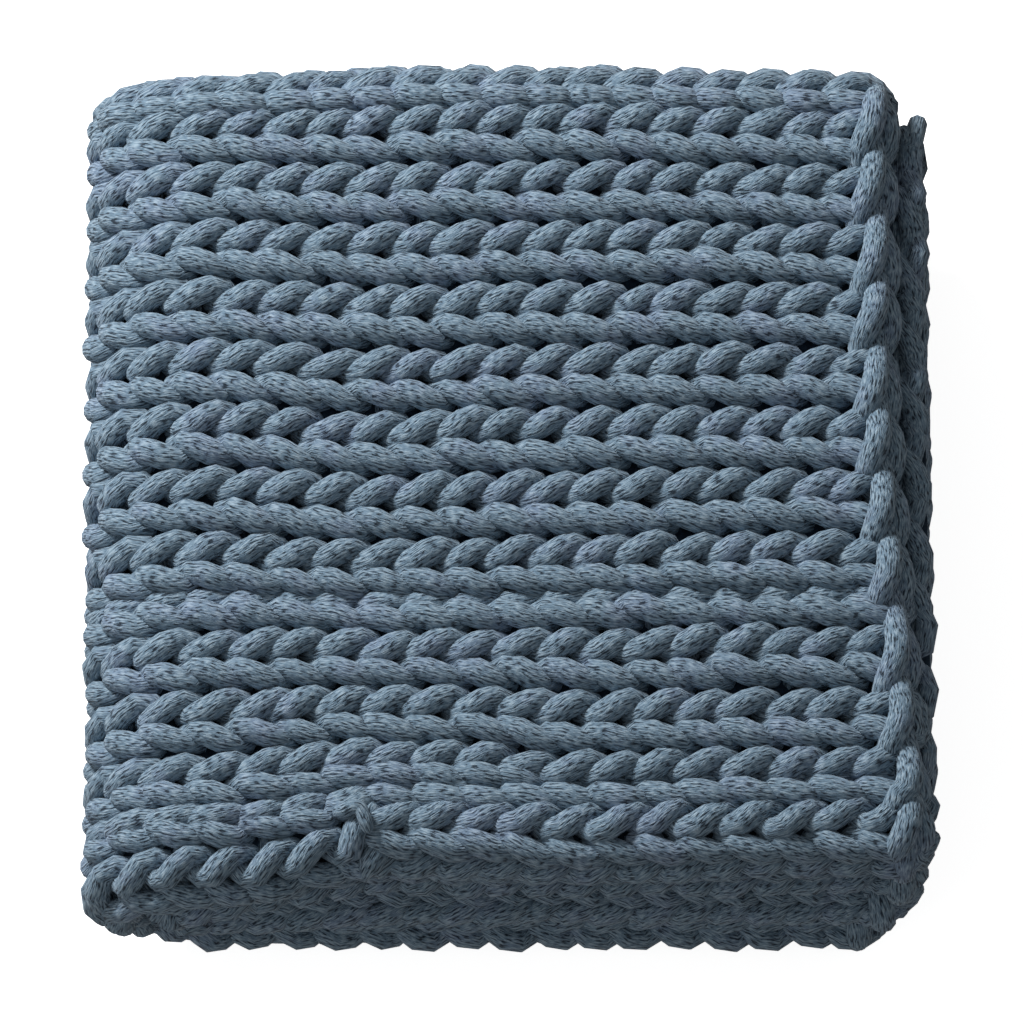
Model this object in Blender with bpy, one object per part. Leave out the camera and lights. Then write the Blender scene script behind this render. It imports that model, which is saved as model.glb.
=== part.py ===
"""A chunky knit throw blanket, folded, lying flat.

The cloth is one thick knitted sheet. It is drawn here as a flat slab and then folded: four
layers back and forth between front and back, and that strip bent in half around the left
edge, so that eight layers lie on each other. X points right, Y to the back and Z up. The
origin is on the floor under the middle of the folded throw. Lengths are in metres.
"""

import math

import bmesh
import bpy
import numpy as np

# Folded throw
LEFT = -0.1930
FRONT = -0.1895
BACK = 0.1900

# Cloth
THICKNESS = 0.0144
WALE_PITCH = 0.0294
LEG_RISE = 0.0013
MIDDLE_DROP = 0.0011
GROOVE_DROP = 0.0027

# Layers of the strip, from its outer face inwards: the room that each one takes, where it
# turns to the next one, and how far that turn reaches in from its own edge of the stack
LAYERS = (
    {"name": "first", "room": 0.0172, "turn": "front", "reach": 0.033, "inset": 0.000},
    {"name": "second", "room": 0.0172, "turn": "back", "reach": 0.024, "inset": 0.016},
    {"name": "third", "room": 0.0154, "turn": "front", "reach": 0.026, "inset": 0.000},
    {"name": "fourth", "room": 0.0154, "turn": "none", "reach": 0.000, "inset": 0.010},
)
STRIP_DEPTH = sum(layer["room"] for layer in LAYERS)
CURL_LENGTH = 0.040
CURL_DROP = 0.011

# Bend around the left edge
LOWER_PRESS = 0.95
MIDDLE_GAP = 0.0026
MIDDLE_Z = STRIP_DEPTH * LOWER_PRESS + MIDDLE_GAP / 2
HEIGHT = STRIP_DEPTH * (1 + LOWER_PRESS) + MIDDLE_GAP
BEND_REACH = 0.062
BEND_HOLE = 0.008
BEND_CENTRE = LEFT + BEND_REACH
BEND_SHOULDER = 0.092
BEND_PINCH = 0.06
BEND_BLEND = 0.070

# Right-hand ends: how far right each layer reaches, at its back and at its front, in the
# upper and in the lower half of the bent strip
ENDS = (
    {"upper_back": 0.1765, "upper_front": 0.1895, "lower_back": 0.1700, "lower_front": 0.1660},
    {"upper_back": 0.1890, "upper_front": 0.1925, "lower_back": 0.1760, "lower_front": 0.1740},
    {"upper_back": 0.1900, "upper_front": 0.1900, "lower_back": 0.1800, "lower_front": 0.1800},
    {"upper_back": 0.1870, "upper_front": 0.1870, "lower_back": 0.1850, "lower_front": 0.1820},
)

# Chain along the bound-off edge, measured in from the end of the cloth: how far the knit
# face stands above that of the cloth at each place
CHAIN = (
    {"inward": 0.0000, "swell": -0.0030},
    {"inward": 0.0050, "swell": 0.0008},
    {"inward": 0.0115, "swell": -0.0012},
    {"inward": 0.0175, "swell": 0.0014},
    {"inward": 0.0240, "swell": -0.0024},
    {"inward": 0.0300, "swell": 0.0000},
)
CHAIN_INSIDE_STACK = 0.35
END_BULGE = 0.0016
CHAIN_SCALLOP = 0.0016

# Unevenness of hand-knitted cloth: height, and sideways sway of the rows
WAVES = (
    {"rise": 0.0009, "along_x": 21.0, "along_y": 9.0, "phase": 0.6},
    {"rise": 0.0006, "along_x": 33.0, "along_y": 27.0, "phase": 2.1},
    {"rise": 0.0004, "along_x": 12.0, "along_y": 51.0, "phase": 4.0},
)
SWAY = 0.0016
SWAY_ALONG_X = 14.0
SWAY_ALONG_Y = 9.0
SWAY_FROM = 0.45
SWAY_OVER = 0.30

# Rows near the left bend lean, by this much, at the back, the middle and the front
LEAN = {"back": -0.009, "middle": 0.003, "front": -0.005}

# The floor presses flat whatever lies lower than this; only the grooves stay above it
FOOT_PRESS = 0.0033

# Mesh
TURN_STEPS = 40
RUN_STEPS = 56
UPPER_STATIONS = 7
BEND_STATIONS = 9
LOWER_STATIONS = 5
WALE_STATIONS = 4
INNER_STATIONS = 6
BACK_TURN_STATIONS = 4
RIM_STATION = 0.009
RIM_TAPER = 0.0023


def smooth(value):
    """Returns 0 below 0, 1 above 1 and an even S curve between."""
    clipped = np.clip(value, 0.0, 1.0)
    return clipped * clipped * (3.0 - 2.0 * clipped)


def section_paths():
    """Returns the knit face and the back face of the folded strip's section.

    Each is a list of (y, depth) points, and the two lists run side by side. The third list
    says which layer, or turn, each point is in: whole numbers are layers, halves are turns.
    """
    knit, purl, places = [], [], []
    depth = 0.0
    for index, layer in enumerate(LAYERS):
        middle = depth + layer["room"] / 2
        side = 1.0 if index % 2 == 0 else -1.0
        knit_depth = middle - side * THICKNESS / 2
        purl_depth = middle + side * THICKNESS / 2
        start = turn_centre(LAYERS[index - 1]) if index else BACK
        stop = turn_centre(layer)
        for step in range(RUN_STEPS + 1):
            y = start + (stop - start) * step / RUN_STEPS
            drop = curl(y) if index == 0 else 0.0
            knit.append((y, knit_depth + drop))
            purl.append((y, purl_depth + drop))
            places.append(index)
        if layer["turn"] == "none":
            continue
        after = LAYERS[index + 1]
        axis = depth + layer["room"]
        knit_out = layer["turn"] == "front"
        wide_rise = (layer["room"] + after["room"]) / 4 + THICKNESS / 2
        tight_rise = (layer["room"] + after["room"]) / 4 - THICKNESS / 2
        way = -1.0 if layer["turn"] == "front" else 1.0
        for step in range(1, TURN_STEPS):
            angle = math.pi * step / TURN_STEPS
            wide = turned(stop, axis, layer["reach"], wide_rise, angle, way)
            tight = turned(stop, axis, layer["reach"] - THICKNESS, tight_rise, angle, way)
            knit.append(wide if knit_out else tight)
            purl.append(tight if knit_out else wide)
            places.append(index + 0.5)
        depth += layer["room"]
    return np.array(knit), np.array(purl), np.array(places)


def turn_centre(layer):
    """Returns the Y where a layer's straight run ends and its turn starts."""
    if layer["turn"] == "front":
        return FRONT + layer["inset"] + layer["reach"]
    return BACK - layer["inset"] - layer["reach"]


def turned(centre, axis, reach, rise, angle, way):
    """Returns a point of a half ellipse from the layer above the axis to the one below."""
    return centre + way * reach * math.sin(angle), axis - rise * math.cos(angle)


def curl(y):
    """Returns how far the free back edge of the outer layer has curled under at a Y."""
    along = max(0.0, (y - (BACK - CURL_LENGTH)) / CURL_LENGTH)
    return CURL_DROP * along ** 2.2


def section_stations(knit, places):
    """Returns where the mesh has points across the strip, as lengths along the knit face.

    With them come the rise of the knit face at each, and the lengths at the points of the
    knit face itself. The outer layer and the front turns have their knit columns in relief:
    four stations a column, for the groove beside it, a leg, the middle and the other leg.
    The layers inside the stack have a few stations each.
    """
    lengths = np.concatenate([[0.0], np.cumsum(np.hypot(*np.diff(knit, axis=0).T))])
    relief = (-GROOVE_DROP, LEG_RISE, -MIDDLE_DROP, LEG_RISE)
    stations, rises = [], []
    for place in np.unique(places):
        inside = np.flatnonzero(places == place)
        spare = int(place % 1 > 0)
        low, high = lengths[inside[0] - spare], lengths[inside[-1] + spare]
        shows = place in (0, 0.5, 2.5)
        if shows:
            count = WALE_STATIONS * round((high - low) / WALE_PITCH)
        else:
            count = BACK_TURN_STATIONS if spare else INNER_STATIONS
        for step in range(count):
            stations.append(low + (high - low) * step / count)
            rises.append(relief[step % WALE_STATIONS] if shows else 0.0)
    stations += [lengths[-1] - RIM_STATION, lengths[-1]]
    rises += [0.0, 0.0]
    return np.array(stations), np.array(rises), lengths


def end_reach(column, places):
    """Returns how far right each place of the section reaches, for one half of the bend.

    A layer runs evenly from the reach at its back to that at its front, and a turn joins the
    two layers that it lies between.
    """
    rows = []
    for index, row in enumerate(ENDS):
        pair = (row[column + "_back"], row[column + "_front"])
        start, stop = pair if index % 2 == 0 else pair[::-1]
        rows += [(index - 0.25, start), (index + 0.25, stop)]
    table = np.array(rows)
    return np.interp(places, table[:, 0], table[:, 1])


def bend(station, depth, right_upper, right_lower):
    """Carries a point of the strip around the left bend.

    station runs from 0 at the upper right-hand end to 1 where the bend starts, 2 where it
    ends and 3 at the lower right-hand end. The bend is half an ellipse, flatter above than
    below, whose reach and centre move evenly from the outer face to the hole in the middle.
    """
    upper_x = right_upper + (BEND_CENTRE - right_upper) * np.clip(station, 0, 1)
    lower_x = BEND_CENTRE + (right_lower - BEND_CENTRE) * np.clip(station - 2, 0, 1)
    run_x = np.where(station < 1.5, upper_x, lower_x)
    near = 1.0 - smooth((run_x - BEND_CENTRE) / BEND_BLEND)
    pressed = depth * (1.0 - BEND_PINCH * near)
    share = pressed / STRIP_DEPTH
    reach = BEND_REACH + (BEND_HOLE - BEND_REACH) * share
    shoulder = BEND_SHOULDER + (MIDDLE_Z - BEND_SHOULDER) * share
    upper_z = HEIGHT - pressed
    lower_z = pressed * LOWER_PRESS
    angle = math.pi * np.clip(station - 1, 0, 1)
    x = np.where(station < 1, upper_x, np.where(station > 2, lower_x, BEND_CENTRE))
    x = x - reach * np.sin(angle)
    above = shoulder + (upper_z - shoulder) * np.cos(angle)
    below = shoulder + (shoulder - lower_z) * np.cos(angle)
    return x, np.where(angle < math.pi / 2, above, below), near


def lean(y, near):
    """Returns how far a row near the bend leans to the back or front."""
    share = np.clip(y / BACK, -1, 1)
    even = (LEAN["back"] + LEAN["front"]) / 2 - LEAN["middle"]
    odd = (LEAN["back"] - LEAN["front"]) / 2
    return near * (LEAN["middle"] + odd * share + even * share * share)


def waves(x, y):
    """Returns the low, long unevenness of the cloth at a place."""
    total = np.zeros_like(x)
    for wave in WAVES:
        phase = wave["along_x"] * x + wave["along_y"] * y + wave["phase"]
        total = total + wave["rise"] * np.sin(phase)
    return total


def strip_stations():
    """Returns the stations along the strip, and how much thicker the cloth is at each."""
    run = (ENDS[0]["upper_back"] + ENDS[0]["upper_front"]) / 2 - BEND_CENTRE
    chain = [row["inward"] / run for row in CHAIN]
    swell = [row["swell"] for row in CHAIN]
    upper = list(np.linspace(chain[-1], 1.0, UPPER_STATIONS + 1)[1:])
    turn = list(np.linspace(1.0, 2.0, BEND_STATIONS + 1)[1:])
    lower = list(np.linspace(2.0, 3.0 - chain[-1], LOWER_STATIONS + 1)[1:])
    tail = [3.0 - chain[2], 3.0 - chain[1], 3.0]
    stations = chain + upper + turn + lower + tail
    swells = swell + [0.0] * (len(upper) + len(turn) + len(lower)) + [0.0, swell[1], swell[0]]
    return np.array(stations), np.array(swells)


def flat_slab(along, across):
    """Returns a flat slab of along by across cells, three points thick at its rim.

    Its points stand at whole numbers: the station along the strip, the station across it,
    and 0, 1 or 2 for the back face, the middle of the rim and the knit face.
    """
    slab = bmesh.new()
    bmesh.ops.create_grid(slab, x_segments=along, y_segments=across, size=1.0)
    corner = np.array([along / 2, across / 2])
    for vertex in slab.verts:
        vertex.co.x = round((vertex.co.x + 1) * corner[0])
        vertex.co.y = round((vertex.co.y + 1) * corner[1])
    top = list(slab.faces)
    inner = []
    for _ in range(2):
        grown = bmesh.ops.extrude_face_region(slab, geom=top)["geom"]
        raised = [item for item in grown if isinstance(item, bmesh.types.BMVert)]
        bmesh.ops.translate(slab, vec=(0, 0, 1), verts=raised)
        inner = top
        top = [item for item in grown if isinstance(item, bmesh.types.BMFace)]
    bmesh.ops.delete(slab, geom=inner, context="FACES")
    bmesh.ops.recalc_face_normals(slab, faces=slab.faces)
    return slab


def fold(places_in_slab):
    """Folds the flat slab's points, given as an array of whole numbers, into the throw."""
    knit, purl, places = section_paths()
    across, rises, lengths = section_stations(knit, places)
    along, swells = strip_stations()
    i, j, k = places_in_slab.T
    face = across[j]
    knit_at = np.stack([np.interp(face, lengths, side) for side in knit.T], axis=1)
    purl_at = np.stack([np.interp(face, lengths, side) for side in purl.T], axis=1)
    place_at = np.interp(face, lengths, even_places(places))
    middle = (knit_at + purl_at) / 2
    outwards = knit_at - purl_at
    outwards /= np.linalg.norm(outwards, axis=1)[:, None]

    rim_across = (j == 0) | (j == len(across) - 1)
    rim_along = (i == 0) | (i == len(along) - 1)
    half = THICKNESS / 2 - RIM_TAPER * rim_across
    swell = swells[i] * np.where(place_at < 1.0, 1.0, CHAIN_INSIDE_STACK)
    rise = np.choose(k, [-half - np.minimum(swell, 0.0), 0.0 * half, half + swell + rises[j]])
    spot = middle + outwards * rise[:, None]

    upper = end_reach("upper", place_at)
    lower = end_reach("lower", place_at)
    x, z, near = bend(along[i], spot[:, 1], upper, lower)
    y = spot[:, 0]
    outer = np.clip(1.0 - spot[:, 1] / STRIP_DEPTH, 0.0, 1.0)
    above = smooth((z / HEIGHT - SWAY_FROM) / SWAY_OVER)
    z = z + waves(x, y) * outer * above
    y = y + lean(y, near) + SWAY * np.sin(SWAY_ALONG_X * x + SWAY_ALONG_Y * y) * (1.0 - near) * above
    bulge = END_BULGE * (k == 1)
    scallop = CHAIN_SCALLOP * np.sign(rises[j]) * (along[i] < 1.0) * (swells[i] != 0.0)
    x = x + bulge * rim_along + scallop
    y = y + bulge * rim_across
    return np.stack([x, y, flat_foot(z)], axis=1)


def even_places(places):
    """Returns the layer numbers as a value that runs on evenly along each layer.

    Within a layer it goes from a quarter below its number to a quarter above, and within a
    turn it crosses the half between, which is what end_reach reads.
    """
    values = np.empty(len(places))
    for place in np.unique(places):
        inside = np.flatnonzero(places == place)
        span = np.linspace(-0.25, 0.25, len(inside))
        values[inside] = place + span
    return values


def flat_foot(z):
    """Presses the underside flat on the floor, but for the grooves between its columns."""
    return np.where(z < FOOT_PRESS, 0.0, z)


def yarn_material():
    """Soft cotton yarn in a slate blue: matt, with no shine of its own."""
    material = bpy.data.materials.new("slate_blue_yarn")
    material.use_nodes = True
    shader = material.node_tree.nodes["Principled BSDF"]
    shader.inputs["Base Color"].default_value = (0.142, 0.210, 0.292, 1.0)
    shader.inputs["Roughness"].default_value = 0.92
    shader.inputs["Metallic"].default_value = 0.0
    return material


def throw():
    """Builds the folded throw as one closed solid."""
    knit, _, places = section_paths()
    across = section_stations(knit, places)[0]
    along = strip_stations()[0]
    slab = flat_slab(len(along) - 1, len(across) - 1)
    slab.verts.ensure_lookup_table()
    whole = np.array([vertex.co[:] for vertex in slab.verts]).round().astype(int)
    folded = fold(whole)
    middle = (folded.min(axis=0) + folded.max(axis=0)) / 2
    middle[2] = 0.0
    for vertex, place in zip(slab.verts, folded - middle):
        vertex.co = place
    mesh = bpy.data.meshes.new("knit_throw")
    slab.to_mesh(mesh)
    slab.free()
    mesh.shade_smooth()
    mesh.materials.append(yarn_material())
    return bpy.data.objects.new("knit_throw", mesh)


def main():
    for old in list(bpy.data.objects):
        bpy.data.objects.remove(old)
    collection = bpy.data.collections.new("folded_knit_throw")
    bpy.context.scene.collection.children.link(collection)
    collection.objects.link(throw())


main()
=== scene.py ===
"""The folded knit throw, dressed with its stitches, its chain edges and its studio.

The cloth is folded by the same rules as the model in the frame: a strip of four layers lies
back and forth between front and back, and the strip is bent in half around the left edge.
Every yarn is drawn on the flat cloth first, by its column, its row and its height, and then
carried into the fold. Lengths are in metres, X points right, Y to the back and Z up.
"""

import logging
import math
from dataclasses import dataclass, field
from enum import Enum

import bpy
import numpy as np
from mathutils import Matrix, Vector


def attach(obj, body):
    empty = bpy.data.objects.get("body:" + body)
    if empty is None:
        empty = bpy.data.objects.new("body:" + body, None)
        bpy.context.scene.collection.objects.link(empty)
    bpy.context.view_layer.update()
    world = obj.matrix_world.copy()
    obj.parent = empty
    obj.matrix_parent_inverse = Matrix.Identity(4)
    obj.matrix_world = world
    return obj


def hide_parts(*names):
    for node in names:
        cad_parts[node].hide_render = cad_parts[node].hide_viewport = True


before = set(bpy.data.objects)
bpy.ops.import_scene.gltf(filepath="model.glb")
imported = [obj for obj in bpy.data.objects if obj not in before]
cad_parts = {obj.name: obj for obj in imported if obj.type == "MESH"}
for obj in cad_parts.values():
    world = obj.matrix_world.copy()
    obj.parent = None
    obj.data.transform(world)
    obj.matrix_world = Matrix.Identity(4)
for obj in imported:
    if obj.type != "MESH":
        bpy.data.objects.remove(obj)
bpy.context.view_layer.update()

LOG = logging.getLogger("knit_throw")
NODE = "knit_throw"
UV_MAP = "yarn_length_and_girth"
Array = np.ndarray


class Turn(Enum):
    """The side of the stack at which a layer turns into the next one."""

    FRONT = "front"
    BACK = "back"
    NONE = "none"


@dataclass(frozen=True)
class Layer:
    """One layer of the folded strip, with the turn that ends it.

    room is the height that it takes, reach and inset are how long its turn is and how far
    that stays in from the edge of the stack, the next four are how far right it ends, and
    straight is the share of that end, from the back, that doesn't slant.
    """

    room: float
    turn: Turn
    reach: float
    inset: float
    upper_back: float
    upper_front: float
    lower_back: float
    lower_front: float
    straight: float = 0.0


@dataclass
class Surface:
    """A mesh as whole arrays: points, four-sided and three-sided faces, and a UV map."""

    points: Array
    quads: Array
    triangles: Array
    uv: Array

    def piece(self, name: str, material: bpy.types.Material) -> bpy.types.Object:
        """Makes a Blender object of the surface, with its UV map and one material.

        Args:
            name: the name of the piece.
            material: its finish.

        Returns:
            The new object, linked to the scene.
        """
        loops = np.concatenate([self.quads.ravel(), self.triangles.ravel()]).astype(np.int32)
        turns = len(self.quads) * 4
        starts = np.concatenate([
            np.arange(len(self.quads)) * 4,
            turns + np.arange(len(self.triangles)) * 3,
        ]).astype(np.int32)
        mesh = bpy.data.meshes.new(name)
        mesh.vertices.add(len(self.points))
        mesh.vertices.foreach_set("co", self.points.astype(np.float32).ravel())
        mesh.loops.add(len(loops))
        mesh.loops.foreach_set("vertex_index", loops)
        mesh.polygons.add(len(starts))
        mesh.polygons.foreach_set("loop_start", starts)
        mesh.update(calc_edges=True)
        layer = mesh.uv_layers.new(name=UV_MAP)
        layer.data.foreach_set("uv", self.uv.astype(np.float32).ravel())
        mesh.validate()
        mesh.shade_smooth()
        mesh.materials.append(material)
        made = bpy.data.objects.new(name, mesh)
        bpy.context.scene.collection.objects.link(made)
        return made

    def keep_above(self, height: float) -> None:
        """Presses the points that would be under a height flat at that height."""
        self.points[:, 2] = np.maximum(self.points[:, 2], height)


def smooth(value: Array) -> Array:
    """Returns 0 below 0, 1 above 1 and an even S curve between."""
    clipped = np.clip(value, 0.0, 1.0)
    return clipped * clipped * (3.0 - 2.0 * clipped)


def unit(vectors: Array) -> Array:
    """Returns the vectors at length one."""
    return vectors / np.maximum(np.linalg.norm(vectors, axis=-1, keepdims=True), 1e-12)


def blunt_ends(count: int, tip: float = 0.55, beside: float = 0.9) -> Array:
    """Gives a yarn rounded ends.

    Args:
        count: how many points the yarn's centre line has.
        tip: the share of its thickness at the first and the last point.
        beside: the share at the points next to them.

    Returns:
        The share of the full thickness at each point.
    """
    shares = np.ones(count)
    shares[[1, -2]] = beside
    shares[[0, -1]] = tip
    return shares


def sweep(
    centres: Array,
    normals: Array,
    wide: Array,
    deep: Array,
    sides: int,
    girth: float,
    offset: Array,
) -> Surface:
    """Carries an oval along many lines at once and closes both ends of each.

    At each point of a line the oval stands square to the line. Its half width lies along
    tangent x normal and its half depth along the normal made square to the line, so a point
    is centre + side * wide * cos(a) + up * deep * sin(a). The seam is on the underside.

    Args:
        centres: lines x points x 3, the middle of the yarn.
        normals: the same shape, the way out of the cloth.
        wide: lines x points, half the width of the yarn along the cloth.
        deep: lines x points, half its depth.
        sides: how many sides the oval has.
        girth: the length once round the yarn, for the UV map.
        offset: one number a line, where its yarn starts in the UV map.

    Returns:
        The closed tubes.
    """
    lines, count = centres.shape[:2]
    tangent = unit(np.gradient(centres, axis=1))
    side = unit(np.cross(tangent, normals))
    up = np.cross(side, tangent)
    angle = 2 * math.pi * np.arange(sides) / sides - math.pi / 2
    across = wide[:, :, None, None] * np.cos(angle)[None, None, :, None] * side[:, :, None]
    above = deep[:, :, None, None] * np.sin(angle)[None, None, :, None] * up[:, :, None]
    rings = centres[:, :, None] + across + above
    tips = centres[:, [0, -1]]
    points = np.concatenate([rings.reshape(-1, 3), tips.reshape(-1, 3)])

    line = np.arange(lines)[:, None, None] * count * sides
    row = np.arange(count - 1)[None, :, None] * sides
    here = np.arange(sides)[None, None, :]
    after = (here + 1) % sides
    quads = np.stack([
        line + row + here, line + row + sides + here,
        line + row + sides + after, line + row + after,
    ], axis=-1).reshape(-1, 4)

    first_tip = lines * count * sides + np.arange(lines)[:, None] * 2
    ring_here = np.arange(sides)[None]
    ring_after = (ring_here + 1) % sides
    start = np.arange(lines)[:, None] * count * sides
    end = start + (count - 1) * sides
    caps = np.concatenate([
        np.stack(np.broadcast_arrays(start + ring_here, start + ring_after, first_tip), -1),
        np.stack(np.broadcast_arrays(end + ring_after, end + ring_here, first_tip + 1), -1),
    ]).reshape(-1, 3)

    steps = np.linalg.norm(np.diff(centres, axis=1), axis=-1)
    lengths = np.concatenate([np.zeros((lines, 1)), np.cumsum(steps, axis=1)], axis=1)
    lengths = lengths + offset[:, None]
    low, high, left, right = np.broadcast_arrays(
        lengths[:, :-1, None], lengths[:, 1:, None],
        here / sides * girth, (here + 1) / sides * girth)
    corners = np.stack([low, left, high, left, high, right, low, right], axis=-1)
    uv = np.concatenate([corners.reshape(-1, 2), np.zeros((caps.size, 2))])
    return Surface(points, quads, caps, uv)


@dataclass
class FoldedCloth:
    """The folded cloth: it carries a column, a row and a height to a place in the throw.

    Columns of stitches (wales) are counted from the free back edge of the outer layer and
    rows (courses) are measured along the outermost path from the upper right-hand end. A
    layer number n is the middle of layer n: its straight run takes run_half on each side, and
    its turn takes the rest up to the next run.

    The front folds are fuller than ellipses by up to nose_fuller, and nose_shifts moves them
    back: the upper and the lower outer one, then the upper and the lower inner one. Each of
    the waves is a height, its pace along X and along Y, and its start. Each of the marks is a
    column and its even number in the left, the middle and the right zone, and the zones give
    the run where the next one starts and how long the change takes. Each of the pinches is a
    column, its half width, and its depth in the three zones.
    """

    left: float = -0.1908
    front: float = -0.1895
    back: float = 0.1900
    centre_x: float = 0.001798
    thickness: float = 0.0144
    wale_pitch: float = 0.0294
    groove_y: float = 0.1583
    groove_column: float = 2.0
    layers: tuple[Layer, ...] = (
        Layer(0.0172, Turn.FRONT, 0.033, 0.000, 0.1765, 0.1895, 0.1700, 0.1660, 0.50),
        Layer(0.0172, Turn.BACK, 0.024, 0.016, 0.1890, 0.1925, 0.1760, 0.1740),
        Layer(0.0154, Turn.FRONT, 0.026, 0.000, 0.1900, 0.1900, 0.1800, 0.1800),
        Layer(0.0154, Turn.NONE, 0.000, 0.010, 0.1870, 0.1870, 0.1840, 0.1810),
    )
    curl_centre: float = 0.1735
    curl_reach: float = 0.0120
    curl_drop: float = 0.0100
    curl_turn: float = 2.35
    curl_place: float = -0.20
    curl_points: int = 30
    run_half: float = 0.25
    run_points: int = 57
    turn_steps: int = 40
    nose_fuller: float = 0.0045
    nose_shifts: tuple[tuple[float, float], tuple[float, float]] = (
        (0.0, -0.0005), (0.0035, 0.0))
    lower_press: float = 0.95
    middle_gap: float = 0.0026
    bend_reach: float = 0.0598
    bend_hole: float = 0.008
    bend_shoulder: float = 0.092
    bend_pinch: float = 0.06
    bend_blend: float = 0.070
    waves: tuple[tuple[float, float, float, float], ...] = (
        (0.0009, 21.0, 9.0, 0.6), (0.0006, 33.0, 27.0, 2.1), (0.0004, 12.0, 51.0, 4.0),
    )
    sway: float = 0.0016
    sway_along: tuple[float, float] = (14.0, 9.0)
    sway_from: float = 0.45
    sway_over: float = 0.30
    lean_back: float = -0.003
    lean_middle: float = 0.003
    lean_front: float = -0.015
    lean_from: float = 0.20
    lean_over: float = 0.45
    marks: tuple[tuple[float, float, float, float], ...] = (
        (1.5, 1.541, 1.541, 1.541), (2.5, 2.493, 2.493, 2.493), (3.5, 3.479, 3.479, 3.479),
        (4.5, 4.464, 4.464, 4.464), (5.5, 5.466, 5.466, 5.466), (6.5, 6.476, 6.476, 6.476),
        (7.5, 7.493, 7.493, 7.493), (8.5, 8.528, 8.528, 8.528), (9.0, 9.024, 9.024, 9.024),
        (9.5, 9.448, 9.448, 9.448), (10.0, 9.578, 9.578, 9.578), (10.5, 9.985, 9.985, 10.02),
        (11.0, 10.441, 10.441, 10.51), (11.5, 10.880, 10.880, 11.02),
        (12.0, 11.360, 11.353, 11.51), (12.5, 11.800, 11.785, 11.96),
        (13.0, 12.200, 12.200, 12.42), (13.5, 12.570, 12.477, 12.45),
        (14.0, 12.930, 12.540, 12.48), (14.5, 13.350, 12.917, 12.93),
        (15.0, 14.100, 13.480, 13.65), (15.5, 14.600, 14.050, 14.18),
        (16.0, 14.900, 14.520, 14.62), (36.0, 35.05, 35.05, 35.05),
    )
    zones: tuple[tuple[float, float], tuple[float, float]] = ((0.2625, 0.015), (0.200, 0.035))
    pinches: tuple[tuple[float, float, tuple[float, float, float]], ...] = (
        (9.75, 0.30, (0.0045, 0.0045, 0.0045)),
        (13.75, 0.30, (0.0, 0.0045, 0.0)),
        (13.50, 0.60, (0.0, 0.0, 0.0110)),
    )
    pinch_until: float = 0.40
    pinch_over: float = 0.05
    wale_steps: int = 160
    path_steps: int = 450
    share_steps: int = 255
    outermost_wale: float = 6.0
    probe: float = 0.002
    section: dict[str, Array] = field(init=False)
    table: Array = field(init=False)
    length: float = field(init=False)

    def __post_init__(self) -> None:
        """Works out the tables that the fold is read from."""
        self.depth = sum(layer.room for layer in self.layers)
        self.middle_z = self.depth * self.lower_press + self.middle_gap / 2
        self.height = self.depth * (1 + self.lower_press) + self.middle_gap
        self.bend_centre = self.left + self.bend_reach
        self.section = self.section_table()
        self.table, self.length = self.station_table()

    @property
    def columns(self) -> tuple[float, float]:
        """The first and the last column of stitches in the cloth.

        Returns:
            Their two numbers.
        """
        shift = self.marks[-1][0] - self.marks[-1][1]
        start = self.marks[0][0] - self.marks[0][1]
        return float(self.section["wale"][0]) + start, float(self.section["wale"][-1]) + shift

    def column_at(self, place: float) -> float:
        """Finds the column of stitches at a place of the section, in the left zone.

        Args:
            place: a layer number.

        Returns:
            The column number.
        """
        wale = np.interp(place, self.section["place"], self.section["wale"])
        table = self.mark_table()
        return float(np.interp(wale, table[:, 1], table[:, 0]))

    def mark_table(self) -> Array:
        """Adds one mark at each side, so that columns go one for one past the marks.

        Returns:
            The marks as an array, a mark a row.
        """
        table = np.array(self.marks)
        ends = np.array([[-9.0], [99.0]]) + table[[0, -1]] - table[[0, -1], :1]
        return np.concatenate([ends[:1], table, ends[1:]])

    def zone_shares(self, run: Array) -> list[Array]:
        """Returns how much the left, the middle and the right zone count at a run."""
        past = [smooth((start - run) / over) for start, over in self.zones]
        return [1 - past[0], past[0] - past[0] * past[1], past[0] * past[1]]

    def even(self, column: Array, run: Array) -> Array:
        """Turns columns of stitches, which are unevenly wide, into even ones.

        Between the marks it goes in straight lines, and past them it goes one for one. The
        marks differ between the left, the middle and the right, with smooth changes.

        Args:
            column: columns of stitches.
            run: metres along the outermost path.

        Returns:
            Column numbers of even width.
        """
        table = self.mark_table()
        shares = self.zone_shares(run)
        return sum(
            share * np.interp(column, table[:, 0], table[:, zone + 1])
            for zone, share in enumerate(shares))

    def pinched(self, column: Array, run: Array) -> Array:
        """Works out how deep the cloth is pinched in at the creases of crowded columns.

        Args:
            column: columns of stitches.
            run: metres along the outermost path.

        Returns:
            The depths, which are 0 in the lower half of the throw.
        """
        total = np.zeros(np.broadcast(column, run).shape)
        upper = smooth((self.pinch_until - run) / self.pinch_over)
        shares = self.zone_shares(run)
        for middle, wide, depths in self.pinches:
            near = 1.0 - smooth(np.abs(column - middle) / wide)
            deep = sum(depth * share for depth, share in zip(depths, shares))
            total = total + near * upper * deep
        return total

    def turn_centre(self, layer: Layer) -> float:
        """Finds where a layer's straight run ends and its turn starts.

        Args:
            layer: the layer.

        Returns:
            The Y of that place.
        """
        if layer.turn is Turn.FRONT:
            return self.front + layer.inset + layer.reach
        return self.back - layer.inset - layer.reach

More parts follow.
